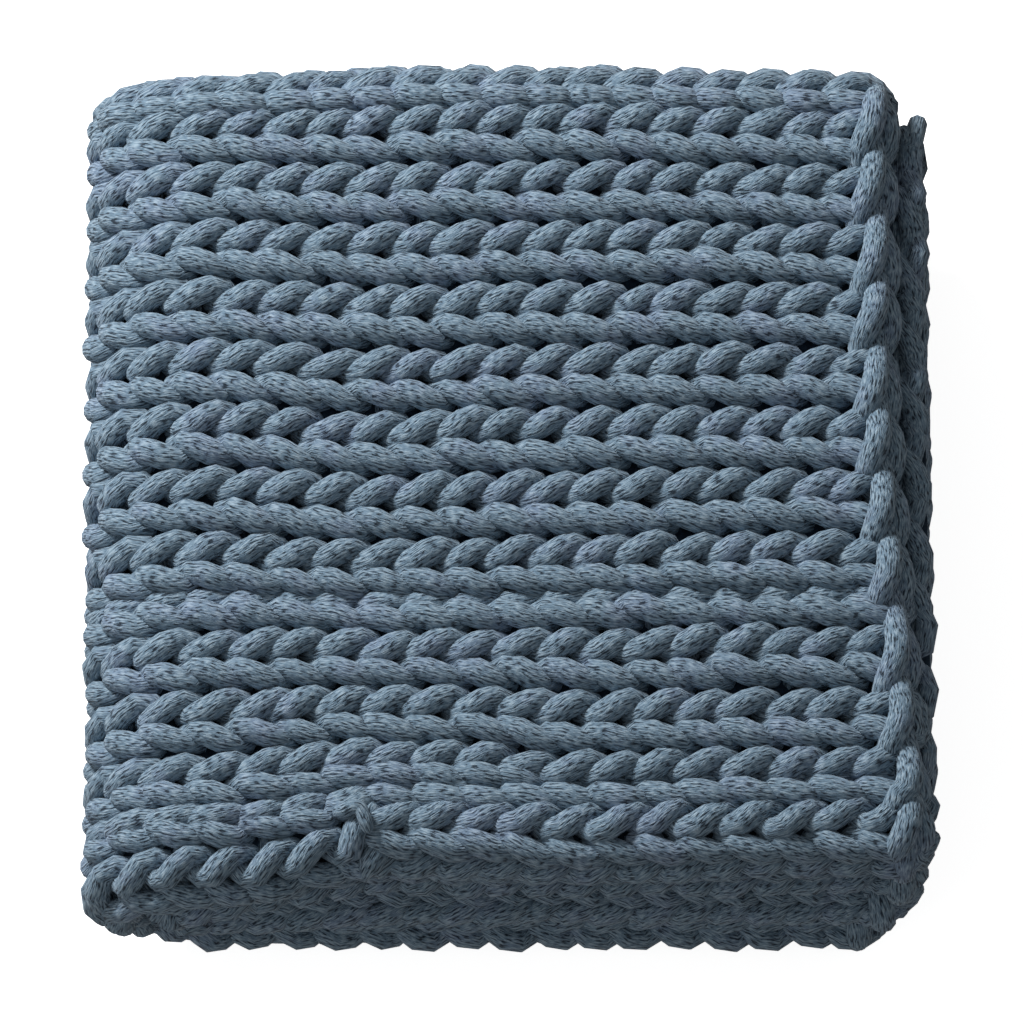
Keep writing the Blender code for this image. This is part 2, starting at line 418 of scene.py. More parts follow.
    def section_table(self) -> dict[str, Array]:
        """Works out the section of the folded strip, from the free back edge inwards.

        A run is a straight line in the middle of its layer. A turn lies between two half
        ellipses, and its middle is half way between them. At the front their half height is
        greater by nose_fuller * sin(2 a) squared, at angle a of the turn, so the folds are
        blunt there. The free back edge of the outer layer is part of an ellipse that curls
        down.

        Returns:
            The column number, Y, depth, outward normal, layer number and nearness to the tip
            of a front fold, from 0 to 1, at each point.
        """
        parts = []
        half = self.thickness / 2
        depth = 0.0
        for index, layer in enumerate(self.layers):
            middle = depth + layer.room / 2
            side = 1.0 if index % 2 == 0 else -1.0
            begin = self.turn_centre(self.layers[index - 1]) if index else self.curl_centre
            stop = self.turn_centre(layer)
            first = index - self.run_half
            if index == 0:
                angle = np.linspace(self.curl_turn, 0.0, self.curl_points, endpoint=False)
                knit, purl = (
                    np.stack([
                        self.curl_centre + (self.curl_reach + out) * np.sin(angle),
                        middle + self.curl_drop - (self.curl_drop + out) * np.cos(angle),
                    ], axis=1) for out in (half, -half))
                place = np.linspace(first, self.curl_place, len(angle))
                parts.append((knit, purl, place, np.ones_like(angle), np.zeros_like(angle)))
                first = self.curl_place
            y = np.linspace(begin, stop, self.run_points)
            knit, purl = (
                np.stack([y, np.full_like(y, middle - side * out)], axis=1)
                for out in (half, -half))
            place = np.linspace(first, index + self.run_half, len(y))
            parts.append((knit, purl, place, np.zeros_like(y), np.zeros_like(y)))
            if layer.turn is Turn.NONE:
                continue
            rise = (layer.room + self.layers[index + 1].room) / 4
            outside = layer.turn is Turn.FRONT
            way = -1.0 if outside else 1.0
            angle = math.pi * np.arange(1, self.turn_steps) / self.turn_steps
            fuller = self.nose_fuller * np.sin(2 * angle) ** 2 * outside
            wide, tight = (
                np.stack([
                    stop + way * reach * np.sin(angle),
                    depth + layer.room - (high + fuller) * np.cos(angle),
                ], axis=1)
                for reach, high in (
                    (layer.reach, rise + half), (layer.reach - self.thickness, rise - half)))
            knit, purl = (wide, tight) if outside else (tight, wide)
            turned = (index + self.run_half, index + 1 - self.run_half)
            place = np.linspace(*turned, self.turn_steps + 1)[1:-1]
            shows = np.full_like(angle, outside)
            parts.append((knit, purl, place, shows, np.sin(angle) * outside))
            depth += layer.room
        knit, purl, place, shows, nose = (np.concatenate(part) for part in zip(*parts))
        middle = (knit + purl) / 2
        out = unit(knit - purl)
        face = middle + out * half * shows[:, None]
        lengths = np.concatenate([[0.0], np.cumsum(np.hypot(*np.diff(face, axis=0).T))])
        top = slice(self.curl_points, self.curl_points + self.run_points)
        groove = np.interp(-self.groove_y, -middle[top, 0], lengths[top]) / self.wale_pitch
        return {
            "wale": lengths / self.wale_pitch - groove + self.groove_column,
            "y": middle[:, 0], "depth": middle[:, 1],
            "out_y": out[:, 0], "out_depth": out[:, 1],
            "place": place, "nose": nose,
        }

    def ends(self, place: Array) -> tuple[Array, Array]:
        """Works out how far right each place of the section reaches.

        Args:
            place: layer numbers.

        Returns:
            The X of the right-hand end there, above and below.
        """
        reach = []
        for back, front in (("upper_back", "upper_front"), ("lower_back", "lower_front")):
            rows = []
            for index, layer in enumerate(self.layers):
                back_at, front_at = index - self.run_half, index + self.run_half
                if index % 2:
                    back_at, front_at = front_at, back_at
                bend_at = back_at + (front_at - back_at) * layer.straight
                at_back = getattr(layer, back)
                rows += sorted([
                    (back_at, at_back), (bend_at, at_back), (front_at, getattr(layer, front))])
            table = np.array(rows)
            reach.append(np.interp(place, table[:, 0], table[:, 1]))
        return reach[0], reach[1]

    def bend(
        self, station: Array, depth: Array, upper: Array, lower: Array
    ) -> tuple[Array, Array, Array]:
        """Carries points of the strip around the left bend.

        station is 0 at the upper right-hand end, 1 where the bend starts, 2 where it ends
        and 3 at the lower right-hand end. The bend is half an ellipse, flatter above than
        below, whose reach and centre move evenly from the outer face to the hole inside.

        Args:
            station: how far along the strip.
            depth: how far in from its outer face.
            upper: how far right the upper end reaches there.
            lower: how far right the lower end reaches there.

        Returns:
            X, Z, and how near to the bend each point is, from 0 to 1.
        """
        upper_x = upper + (self.bend_centre - upper) * np.clip(station, 0, 1)
        lower_x = self.bend_centre + (lower - self.bend_centre) * np.clip(station - 2, 0, 1)
        run_x = np.where(station < 1.5, upper_x, lower_x)
        near = 1.0 - smooth((run_x - self.bend_centre) / self.bend_blend)
        pressed = depth * (1.0 - self.bend_pinch * near)
        share = pressed / self.depth
        reach = self.bend_reach + (self.bend_hole - self.bend_reach) * share
        shoulder = self.bend_shoulder + (self.middle_z - self.bend_shoulder) * share
        upper_z = self.height - pressed
        lower_z = pressed * self.lower_press
        angle = math.pi * np.clip(station - 1, 0, 1)
        x = np.where(station < 1, upper_x, np.where(station > 2, lower_x, self.bend_centre))
        x = x - reach * np.sin(angle)
        above = shoulder + (upper_z - shoulder) * np.cos(angle)
        below = shoulder + (shoulder - lower_z) * np.cos(angle)
        return x, np.where(angle < math.pi / 2, above, below), near

    def station_table(self) -> tuple[Array, float]:
        """Works out where the rows lie along the strip, evenly by length at each column.

        Returns:
            The station at each column (table row) and each share of the way along it, and
            the length of the outermost path.
        """
        columns = self.section["wale"]
        wale = np.linspace(columns[0], columns[-1], self.wale_steps)
        place = np.interp(wale, columns, self.section["place"])
        depth = np.interp(wale, columns, self.section["depth"])
        upper, lower = self.ends(place)
        station = np.linspace(0.0, 3.0, self.path_steps + 1)
        x, z, _ = self.bend(
            station[None], depth[:, None], upper[:, None], lower[:, None])
        steps = np.hypot(np.diff(x, axis=1), np.diff(z, axis=1))
        lengths = np.concatenate([np.zeros((len(wale), 1)), np.cumsum(steps, axis=1)], axis=1)
        share = np.linspace(0.0, 1.0, self.share_steps + 1)
        rows = [np.interp(share * line[-1], line, station) for line in lengths]
        outermost = int(np.argmin(np.abs(wale - self.outermost_wale)))
        return np.array(rows), float(lengths[outermost, -1])

    def station(self, wale: Array, run: Array) -> Array:
        """Reads the station table, evenly between its entries.

        Args:
            wale: even column numbers.
            run: metres along the outermost path.

        Returns:
            The stations.
        """
        first, last = self.section["wale"][[0, -1]]
        row = np.clip((wale - first) / (last - first), 0, 1) * (self.table.shape[0] - 1)
        column = np.clip(run / self.length, 0, 1) * (self.table.shape[1] - 1)
        i = np.minimum(row.astype(int), self.table.shape[0] - 2)
        j = np.minimum(column.astype(int), self.table.shape[1] - 2)
        u, v = row - i, column - j
        low = self.table[i, j] * (1 - v) + self.table[i, j + 1] * v
        high = self.table[i + 1, j] * (1 - v) + self.table[i + 1, j + 1] * v
        return low * (1 - u) + high * u

    def place(self, column: Array, run: Array, rise: Array, evened: bool = False) -> Array:
        """Carries points of the flat cloth into the folded throw.

        The place in the section gives Y and the depth in the stack, and the station gives X
        and Z. Then the front folds are moved back by their nose_shifts, the upper layers get
        low waves and a slight sway, and the bend leans to the back or the front.

        Args:
            column: columns of stitches.
            run: metres along the outermost path from the upper right-hand end.
            rise: metres above the middle of the cloth, towards its knit face.
            evened: whether the columns are already of even width.

        Returns:
            The points, with a last axis of X, Y and Z.
        """
        wale = column if evened else self.even(column, run)
        if not evened:
            rise = rise - self.pinched(column, run)
        columns = self.section["wale"]
        read = {key: np.interp(wale, columns, row) for key, row in self.section.items()}
        norm = np.hypot(read["out_y"], read["out_depth"])
        y = read["y"] + rise * read["out_y"] / norm
        depth = read["depth"] + rise * read["out_depth"] / norm
        upper, lower = self.ends(read["place"])
        station = self.station(wale, run)
        x, z, near = self.bend(station, depth, upper, lower)
        below = smooth(station - 1.0)
        back_by = [up * (1 - below) + down * below for up, down in self.nose_shifts]
        y = y + read["nose"] * np.where(read["place"] < 1.5, *back_by)
        outer = np.clip(1.0 - depth / self.depth, 0.0, 1.0)
        above = smooth((z / self.height - self.sway_from) / self.sway_over)
        hills = np.zeros_like(x)
        for rise_by, along_x, along_y, phase in self.waves:
            hills = hills + rise_by * np.sin(along_x * x + along_y * y + phase)
        z = z + hills * outer * above
        share = np.clip(y / self.back, -1, 1)
        even = (self.lean_back + self.lean_front) / 2 - self.lean_middle
        odd = (self.lean_back - self.lean_front) / 2
        high = smooth((z / self.height - self.lean_from) / self.lean_over)
        lean = near * high * (self.lean_middle + odd * share + even * share * share)
        swing = np.sin(self.sway_along[0] * x + self.sway_along[1] * y)
        y = y + lean + self.sway * swing * (1.0 - near) * above
        return np.stack([x - self.centre_x, y, z], axis=-1)

    def carry(
        self, column: Array, run: Array, rise: Array, evened: bool = False
    ) -> tuple[Array, Array]:
        """Carries the middles of yarns into the throw, and finds the way out of the cloth.

        Args:
            column: columns of stitches.
            run: metres along the outermost path from the upper right-hand end.
            rise: metres above the middle of the cloth, towards its knit face.
            evened: whether the columns are already of even width.

        Returns:
            The points, and at each one the unit vector to where the cloth is a little higher.
        """
        centres = self.place(column, run, rise, evened)
        return centres, unit(self.place(column, run, rise + self.probe, evened) - centres)


@dataclass
class Stitches:
    """Plain knit stitches: one yarn a row, looped once in every column.

    Over one column the yarn's column number goes t + lean * sin(4 pi t), with more lean in
    the leg towards the front and less apart * sin(2 pi t), which opens the V. Its row swings
    by -swing * cos(2 pi t), and its height is -depth * cos(4 pi t), less a further dip at its
    head and foot. So its two legs stand out as a V, and its head and foot go behind the
    neighbouring rows and leave a small hole. jitter says how much the column, the swing, the
    row, the height and the thickness vary from leg to leg, and bend_rows where the left bend
    starts and ends.
    """

    cloth: FoldedCloth
    first_row: float = 0.0250
    row_pitch: float = 0.0195
    rows: int = 39
    bend_rows: tuple[int, int] = (17, 28)
    lean: float = 0.235
    swing: float = 0.87
    bias: float = 0.05
    apart: float = 0.018
    depth: float = 0.0040
    dip: float = 0.0040
    wide: float = 0.0054
    deep: float = 0.0052
    fat: float = 0.12
    girth: float = 0.039
    jitter: tuple[float, float, float, float, float] = (0.022, 0.05, 0.06, 0.0006, 0.05)
    seed: int = 11
    uv_step: float = 0.377
    clearance: float = 0.0004

    def __post_init__(self) -> None:
        """Draws the unevenness of hand-knitted stitches, once, with a fixed seed."""
        random = np.random.default_rng(self.seed)
        count = int(self.cloth.columns[1]) + 3
        size = (len(self.jitter), self.rows, 2 * count)
        self.uneven = random.normal(size=size).clip(-2, 2)

    def uneven_at(self, kind: int, rows: Array, turn: Array) -> Array:
        """Reads one kind of unevenness, which is drawn at each leg and even between legs."""
        legs = np.arange(self.uneven.shape[2]) / 2 - 0.75
        return np.array([np.interp(turn, legs, self.uneven[kind, row]) for row in rows])

    def tubes(
        self, rows: Array, start: float, stop: float, steps: int, sides: int
    ) -> Surface:
        """Builds the yarns of some rows between two columns.

        Args:
            rows: the row numbers.
            start: column number where the tubes start.
            stop: column number where they end.
            steps: points of the centre line in each column.
            sides: sides of the yarn's oval.

        Returns:
            One closed tube a row.
        """
        turn = np.linspace(start, stop, int(round((stop - start) * steps)) + 1)
        phase = 2 * math.pi * turn[None]
        aside, longer, shift, higher, thicker = (
            share * self.uneven_at(kind, rows, turn) for kind, share in enumerate(self.jitter))
        lean = self.lean * (1 - self.bias * np.sin(phase))
        wale = turn[None] + lean * np.sin(2 * phase) - self.apart * np.sin(phase) + aside
        swung = rows[:, None] - self.swing * np.cos(phase) * (1 + longer) + shift
        run = self.first_row + self.row_pitch * swung
        behind = (0.5 + 0.5 * np.cos(2 * phase)) ** 1.5
        rise = -self.depth * np.cos(2 * phase) - self.dip * behind + higher
        wale = np.clip(wale, *self.cloth.columns)
        centres, normals = self.cloth.carry(wale, run, rise)
        size = (1 - self.fat * np.cos(2 * phase) + thicker) * blunt_ends(len(turn))
        surface = sweep(
            centres, normals, self.wide * size, self.deep * size,
            sides, self.girth, rows * self.uv_step)
        surface.keep_above(self.clearance)
        return surface


@dataclass
class ChainEdge:
    """The chain along an end of the cloth: one long loop a column, each over the next.

    A loop is a hairpin. At angle a from 0 to pi its share s of the way along the chain is
    sin(a) to the power haste, its place beside the chain -cos(a) * (foot + spread * sin(a)
    squared) + skew * (2 s - 1) and its height lift - depth * cos(2 pi s ** crest) - over *
    cos(a). So its two legs stand out, one over the other, they cross where foot is below 0,
    and its foot and head are tucked behind. The whole chain is rolled over the edge of the
    cloth: each of the rolls is an even column, the angle there, and the share of the height
    that is left there, which is less where the cloth folds. jitter says how much the start,
    the reach, the place beside the edge and the height vary from loop to loop.
    """

    cloth: FoldedCloth
    from_end: float = 0.0150
    reach: float = 2.75
    haste: float = 0.75
    foot: float = -0.0025
    spread: float = 0.0215
    skew: float = 0.0020
    over: float = 0.0022
    crest: float = 2.2
    pitch: float = 1.06
    rolls: tuple[tuple[float, float, float], ...] = (
        (8.0, 0.60, 1.0), (12.0, 0.90, 1.0), (13.2, 0.80, 0.8), (14.2, 0.25, 0.6),
        (16.0, 1.30, 0.9), (25.3, 1.30, 0.9), (26.2, 0.60, 0.2), (27.5, 0.60, 0.2),
        (28.4, 1.30, 0.9), (38.0, 1.30, 0.9), (39.5, 0.30, 0.6), (41.0, 1.30, 0.9))
    lift: float = 0.0020
    depth: float = 0.0050
    wide: float = 0.0057
    deep: float = 0.0054
    fat: float = 0.10
    girth: float = 0.039
    jitter: tuple[float, float, float, float] = (0.04, 0.04, 0.0006, 0.0003)
    steps: int = 24
    sides: int = 10
    seed: int = 5
    uv_step: float = 0.211
    clearance: float = 0.0004

    def tubes(self, at_far_end: bool) -> Surface:
        """Builds the chain of one end.

        Args:
            at_far_end: whether it is the lower end of the cloth.

        Returns:
            One closed hairpin a column.
        """
        random = np.random.default_rng(self.seed + int(at_far_end))
        first, last = self.cloth.section["wale"][[0, -1]]
        links = np.arange(first, last - self.reach, self.pitch)[:, None]
        uneven = random.normal(size=(len(self.jitter), len(links), 1)).clip(-2, 2)
        later, longer, aside, higher = (
            share * part for share, part in zip(self.jitter, uneven))
        angle = np.linspace(0.0, math.pi, self.steps + 1)[None]
        along = np.sin(angle).clip(0) ** self.haste
        wale = links + later + self.reach * (1 + longer) * along
        beside = -np.cos(angle) * (self.foot + self.spread * np.sin(angle) ** 2)
        high = -np.cos(2 * math.pi * along ** self.crest)
        proud = self.lift + self.depth * high - self.over * np.cos(angle) + higher
        inward = self.from_end + self.skew * (2 * along - 1) + aside
        at, rolls, stands = np.array(self.rolls).T
        roll = np.interp(wale, at, rolls)
        proud = proud * np.interp(wale, at, stands)
        inward = inward + beside * np.cos(roll) - proud * np.sin(roll)
        run = self.cloth.length - inward if at_far_end else inward
        rise = beside * np.sin(roll) + proud * np.cos(roll)
        wale = np.clip(wale, first, last)
        centres, normals = self.cloth.carry(wale, run, rise, evened=True)
        size = (1 + self.fat * high) * blunt_ends(self.steps + 1)
        surface = sweep(
            centres, normals, self.wide * size, self.deep * size,
            self.sides, self.girth, links[:, 0] * self.uv_step)
        surface.keep_above(self.clearance)
        return surface


@dataclass
class YarnEnd:
    """The short loose end of the yarn, which lies over the front rows and tapers to a cut.

    The route's points are a column, a run and a rise, and the taper's are a share of the way
    and the share of the thickness there.
    """

    cloth: FoldedCloth
    route: tuple[tuple[float, float, float], ...] = (
        (14.20, 0.2660, 0.0010), (14.21, 0.2625, 0.0080), (14.26, 0.2585, 0.0120),
        (14.44, 0.2550, 0.0125), (14.64, 0.2525, 0.0120), (14.84, 0.2505, 0.0110),
        (15.00, 0.2490, 0.0090),
    )
    taper: tuple[tuple[float, float], ...] = (
        (0.0, 0.8), (0.1, 1.0), (0.8, 0.95), (0.95, 0.7), (1.0, 0.3))
    wide: float = 0.0034
    deep: float = 0.0029
    evened_over: int = 7
    steps: int = 40
    sides: int = 12
    girth: float = 0.026

    def tube(self) -> Surface:
        """Builds the end as one tube through the points of its route, evenly smoothed.

        Returns:
            The closed tube.
        """
        table = np.array(self.route)
        knots = np.linspace(0.0, 1.0, len(table))
        along = np.linspace(0.0, 1.0, self.steps)
        column, run, rise = (np.interp(along, knots, values) for values in table.T)
        kernel = np.ones(self.evened_over) / self.evened_over
        more = self.evened_over // 2
        column, run, rise = (
            np.convolve(np.pad(values, more, mode="edge"), kernel, mode="valid")
            for values in (column, run, rise))
        centres, normals = self.cloth.carry(column[None], run[None], rise[None])
        taper = np.interp(along, *np.array(self.taper).T)[None]
        return sweep(
            centres, normals, self.wide * taper, self.deep * taper,
            self.sides, self.girth, np.zeros(1))


@dataclass
class ClothSheet:
    """The thin closed middle of the cloth, which shows only between the stitches.

    It ends short of the cloth's edges, by margin along the columns and by inset, in columns,
    across them. In the throw it takes the dark finish of the yarn backs, which is painted
    shade.
    """

    cloth: FoldedCloth
    along: int = 130
    across: int = 320
    rise: float = -0.0038
    half: float = 0.0007
    margin: float = 0.006
    inset: float = 0.15
    clearance: float = 0.0008

    def surface(self) -> Surface:
        """Builds the sheet: two grids of the folded cloth, joined along their rim.

        Returns:
            The closed sheet.
        """
        first, last = self.cloth.columns
        wale = np.linspace(first + self.inset, last - self.inset, self.across + 1)[None, :]
        run = np.linspace(self.margin, self.cloth.length - self.margin, self.along + 1)[:, None]
        wale, run = np.broadcast_arrays(wale, run)
        faces = []
        for side in (1.0, -1.0):
            rise = np.full(wale.shape, self.rise + side * self.half)
            faces.append(self.cloth.place(wale, run, rise))
        points = np.concatenate([face.reshape(-1, 3) for face in faces])
        columns = self.across + 1
        i = np.arange(self.along)[:, None] * columns
        j = np.arange(self.across)[None]
        below = (self.along + 1) * columns
        top = np.stack([i + j, i + columns + j, i + columns + j + 1, i + j + 1], -1)
        top = top.reshape(-1, 4)
        bottom = top[:, ::-1] + below
        rim = np.concatenate([
            np.arange(self.across), np.arange(self.along) * columns + self.across,
            self.along * columns + np.arange(self.across, 0, -1),
            np.arange(self.along, 0, -1) * columns,
        ])
        after = np.roll(rim, -1)
        wall = np.stack([rim, after, after + below, rim + below], -1)
        quads = np.concatenate([top, bottom, wall])
        flat = np.stack([run.ravel(), wale.ravel() * self.cloth.wale_pitch], axis=1)
        flat = np.concatenate([flat, flat])
        sheet = Surface(points, quads, np.zeros((0, 3), int), flat[quads.ravel()])
        sheet.keep_above(self.clearance)
        return sheet


def linear(code: str) -> tuple[float, float, float, float]:
    """Turns an sRGB hex colour into the linear colour that a shader takes.

    Args:
        code: six hex digits.

    Returns:
        Red, green, blue and an alpha of 1.
    """
    values = [int(code[place:place + 2], 16) / 255 for place in (0, 2, 4)]
    turned = [v / 12.92 if v <= 0.04045 else ((v + 0.055) / 1.055) ** 2.4 for v in values]
    return turned[0], turned[1], turned[2], 1.0


def add_node(
    tree: bpy.types.NodeTree, kind: str, settings: dict | None = None, **links: object
) -> bpy.types.Node:
    """Adds a shader node with its settings and links.

    Args:
        tree: the material's nodes.
        kind: the Blender name of the node type.
        settings: properties of the node, values of its inputs by name or number, and under
            "stops" the places and hex colours of a colour ramp.
        links: output sockets for its inputs, named with _ for each space, or _ and a number.

    Returns:
        The new node.
    """
    node = tree.nodes.new(kind)
    for key, value in (settings or {}).items():
        if key == "stops":
            elements = node.color_ramp.elements
            while len(elements) < len(value):
                elements.new(0.5)
            for element, (place, code) in zip(elements, value):
                element.position = place
                element.color = linear(code)
        elif isinstance(key, int) or key in node.inputs:
            node.inputs[key].default_value = value
        else:
            setattr(node, key, value)
    for key, socket in links.items():
        number = key[1:] if key.startswith("_") and key[1:].isdigit() else ""
        target = node.inputs[int(number)] if number else node.inputs[key.replace("_", " ")]
        tree.links.new(socket, target)
    return node


def new_material(name: str) -> bpy.types.Material:
    """Makes a material whose nodes are still to be added.

    Args:
        name: its name.

    Returns:
        The material, without nodes.
    """
    made = bpy.data.materials.new(name)
    made.use_nodes = True
    made.node_tree.nodes.clear()
    return made


@dataclass(frozen=True)
class CottonTubeYarn:
    """Brushed cotton-blend tube yarn, dyed slate blue.

    The yarn is a narrow knitted tube of fine threads. It gives the eye long slanting threads
    with short dark slits between them, fine fibres, a matt surface with a faint fuzz at its
    edges, and small shifts of the dye towards lilac and green. The dark of the slits is painted
    shade in the gaps. Lengths and widths of threads, slits and fibres are in metres; real
    fibres are finer and are drawn as coarse as they need to be to show. The dye shifts over
    about 26 mm, so patches is 1 / 0.026.
    """

    name: str = "slate_blue_cotton_tube_yarn"
    # painted shade: the dark colour multiplied into the slits between threads
    slit_shade: str = "2E3F50"
    dark: str = "4A5E70"
    middle: str = "6C8395"
    light: str = "A3B6C3"
    dark_at: float = 0.36
    light_at: float = 0.66
    tints: tuple[str, str, str] = ("657D8F", "6C8497", "7A87A8")
    tint_share: float = 0.30
    patches: float = 38.0
    slit_size: tuple[float, float] = (0.0035, 0.0009)
    slit_from: float = 0.30
    slit_to: float = 0.40
    slit_shade_share: float = 0.80
    thread_size: tuple[float, float] = (0.0035, 0.0009)
    thread_height: float = 0.9
    fibre_size: tuple[float, float] = (0.0022, 0.0005)
    fibre_height: float = 0.35
    twist: float = -0.10
    bump: float = 0.0010
    bump_strength: float = 0.9
    roughness: float = 0.93
    shine: float = 0.18
    fuzz: float = 0.40
    fuzz_roughness: float = 0.55
    fuzz_colour: str = "B8C6D2"

    def material(self) -> bpy.types.Material:
        """Builds the finish from procedural nodes, on the yarn's length and girth.

        Returns:
            The material.
        """
        made = new_material(self.name)
        tree = made.node_tree
        uv = add_node(tree, "ShaderNodeUVMap", {"uv_map": UV_MAP})
        turned = add_node(
            tree, "ShaderNodeMapping", {"Rotation": (0.0, 0.0, self.twist)},
            Vector=uv.outputs["UV"])
        grains = []
        for (long, wide), detail, rough in (
            (self.slit_size, 1.5, 0.45), (self.thread_size, 2.0, 0.55),
            (self.fibre_size, 2.0, 0.6),
        ):
            stretched = add_node(
                tree, "ShaderNodeMapping", {"Scale": (1 / long, 1 / wide, 1.0)},
                Vector=turned.outputs["Vector"])
            grains.append(add_node(
                tree, "ShaderNodeTexNoise",
                {"noise_dimensions": "2D", "Scale": 1.0, "Detail": detail, "Roughness": rough},
                Vector=stretched.outputs["Vector"]))
        slits, threads, fibres = grains
        closed = add_node(
            tree, "ShaderNodeMapRange",
            {"From Min": self.slit_from, "From Max": self.slit_to, "To Min": 0.0, "To Max": 1.0,
             "interpolation_type": "SMOOTHSTEP"},
            Value=slits.outputs["Fac"])
        place = add_node(tree, "ShaderNodeTexCoord")
        patches = add_node(
            tree, "ShaderNodeTexNoise",
            {"Scale": self.patches, "Detail": 3.0, "Roughness": 0.6},
            Vector=place.outputs["Object"])
        stops = (self.dark_at, 0.50, self.light_at)
        base, tint = (
            add_node(
                tree, "ShaderNodeValToRGB", {"stops": list(zip(stops, colours))},
                Fac=grain.outputs["Fac"])
            for colours, grain in (
                ((self.dark, self.middle, self.light), threads), (self.tints, patches)))
        dyed = add_node(
            tree, "ShaderNodeMix",
            {"data_type": "RGBA", "blend_type": "MIX", "Factor": self.tint_share},
            _6=base.outputs["Color"], _7=tint.outputs["Color"])
        # painted shade in the slits, which the bump also sets low
        slit_shade_colour = add_node(
            tree, "ShaderNodeValToRGB", {"stops": [(0.0, self.slit_shade), (1.0, "FFFFFF")]},
            Fac=closed.outputs["Result"])
        colour = add_node(
            tree, "ShaderNodeMix",
            {"data_type": "RGBA", "blend_type": "MULTIPLY", "Factor": self.slit_shade_share},
            _6=dyed.outputs[2], _7=slit_shade_colour.outputs["Color"])
        height = closed.outputs["Result"]
        for share, grain in ((self.thread_height, threads), (self.fibre_height, fibres)):
            height = add_node(
                tree, "ShaderNodeMath", {"operation": "MULTIPLY_ADD", 1: share},
                _0=grain.outputs["Fac"], _2=height).outputs[0]
        bump = add_node(
            tree, "ShaderNodeBump", {"Strength": self.bump_strength, "Distance": self.bump},
            Height=height)
        shader = add_node(
            tree, "ShaderNodeBsdfPrincipled",
            {"Roughness": self.roughness, "Specular IOR Level": self.shine,
             "Sheen Weight": self.fuzz, "Sheen Roughness": self.fuzz_roughness,
             "Sheen Tint": linear(self.fuzz_colour)},
            Base_Color=colour.outputs[2], Normal=bump.outputs["Normal"])
        add_node(tree, "ShaderNodeOutputMaterial", None, Surface=shader.outputs["BSDF"])
        return made


@dataclass(frozen=True)
class PaintedShadeYarnBacks:
    """The backs of the same cotton yarn, deep between the stitches, where little light comes.

    They give the eye a dark blue without shine, which is painted shade, much darker than the
    yarn's own colour, with fibres that are drawn 2 mm coarse.
    """

    name: str = "slate_blue_yarn_backs_painted_shade"
    # painted shade: both colours are much darker than the yarn's own slate blue
    dark: str = "1B2632"
    light: str = "2C3B4A"
    fibres: float = 420.0
    bump: float = 0.0008
    bump_strength: float = 0.6
    roughness: float = 0.95
    shine: float = 0.1

    def material(self) -> bpy.types.Material:
        """Builds the finish from procedural nodes.

        Returns:
            The material.
        """
        made = new_material(self.name)
        tree = made.node_tree
        place = add_node(tree, "ShaderNodeTexCoord")
        fibres = add_node(
            tree, "ShaderNodeTexNoise", {"Scale": self.fibres, "Detail": 3.0},
            Vector=place.outputs["Object"])
        colour = add_node(
            tree, "ShaderNodeValToRGB", {"stops": [(0.35, self.dark), (0.65, self.light)]},
            Fac=fibres.outputs["Fac"])
        bump = add_node(
            tree, "ShaderNodeBump", {"Strength": self.bump_strength, "Distance": self.bump},
            Height=fibres.outputs["Fac"])
        shader = add_node(
            tree, "ShaderNodeBsdfPrincipled",
            {"Roughness": self.roughness, "Specular IOR Level": self.shine},
            Base_Color=colour.outputs["Color"], Normal=bump.outputs["Normal"])
        add_node(tree, "ShaderNodeOutputMaterial", None, Surface=shader.outputs["BSDF"])
        return made


@dataclass(frozen=True)
class PaleFloor:
    """A light table of white matt acrylic, even and without a pattern that shows."""

    half: float = 6.0
    colour: str = "F2F2F2"
    roughness: float = 0.9
    glow: float = 0.85
    under: str = "303030"
    under_roughness: float = 1.0
    under_z: float = -0.001

    def plane(self, name: str, height: float, settings: dict) -> bpy.types.Object:
        """Makes a square plane with a plain finish.

        Args:
            name: its name.
            height: its Z.
            settings: the values of its shader's inputs.

        Returns:
            The plane.
        """
        made = new_material(name)
        tree = made.node_tree
        shader = add_node(tree, "ShaderNodeBsdfPrincipled", settings)
        add_node(tree, "ShaderNodeOutputMaterial", None, Surface=shader.outputs["BSDF"])
        uv = np.array([[-1.0, -1.0], [1.0, -1.0], [1.0, 1.0], [-1.0, 1.0]])
        points = np.column_stack([uv * self.half, np.full(4, height)])
        return Surface(points, np.arange(4)[None], np.zeros((0, 3), int), uv).piece(name, made)

    def build(self) -> bpy.types.Object:
        """Makes the floor, just under the throw, which throws no light back at it.

        Returns:
            The floor object.
        """
        floor = self.plane("studio_floor", 0.0, {
            "Base Color": linear(self.colour), "Roughness": self.roughness,
            "Emission Color": linear("FFFFFF"), "Emission Strength": self.glow})
        floor.visible_diffuse = False
        return floor

    def underlay(self) -> bpy.types.Object:
        """Makes the dark sheet under the light table, so that no light comes up through it.

        Returns:
            The sheet, which the camera doesn't see.
        """
        sheet = self.plane("dark_underlay", self.under_z, {
            "Base Color": linear(self.under), "Roughness": self.under_roughness})
        sheet.visible_camera = False
        return sheet


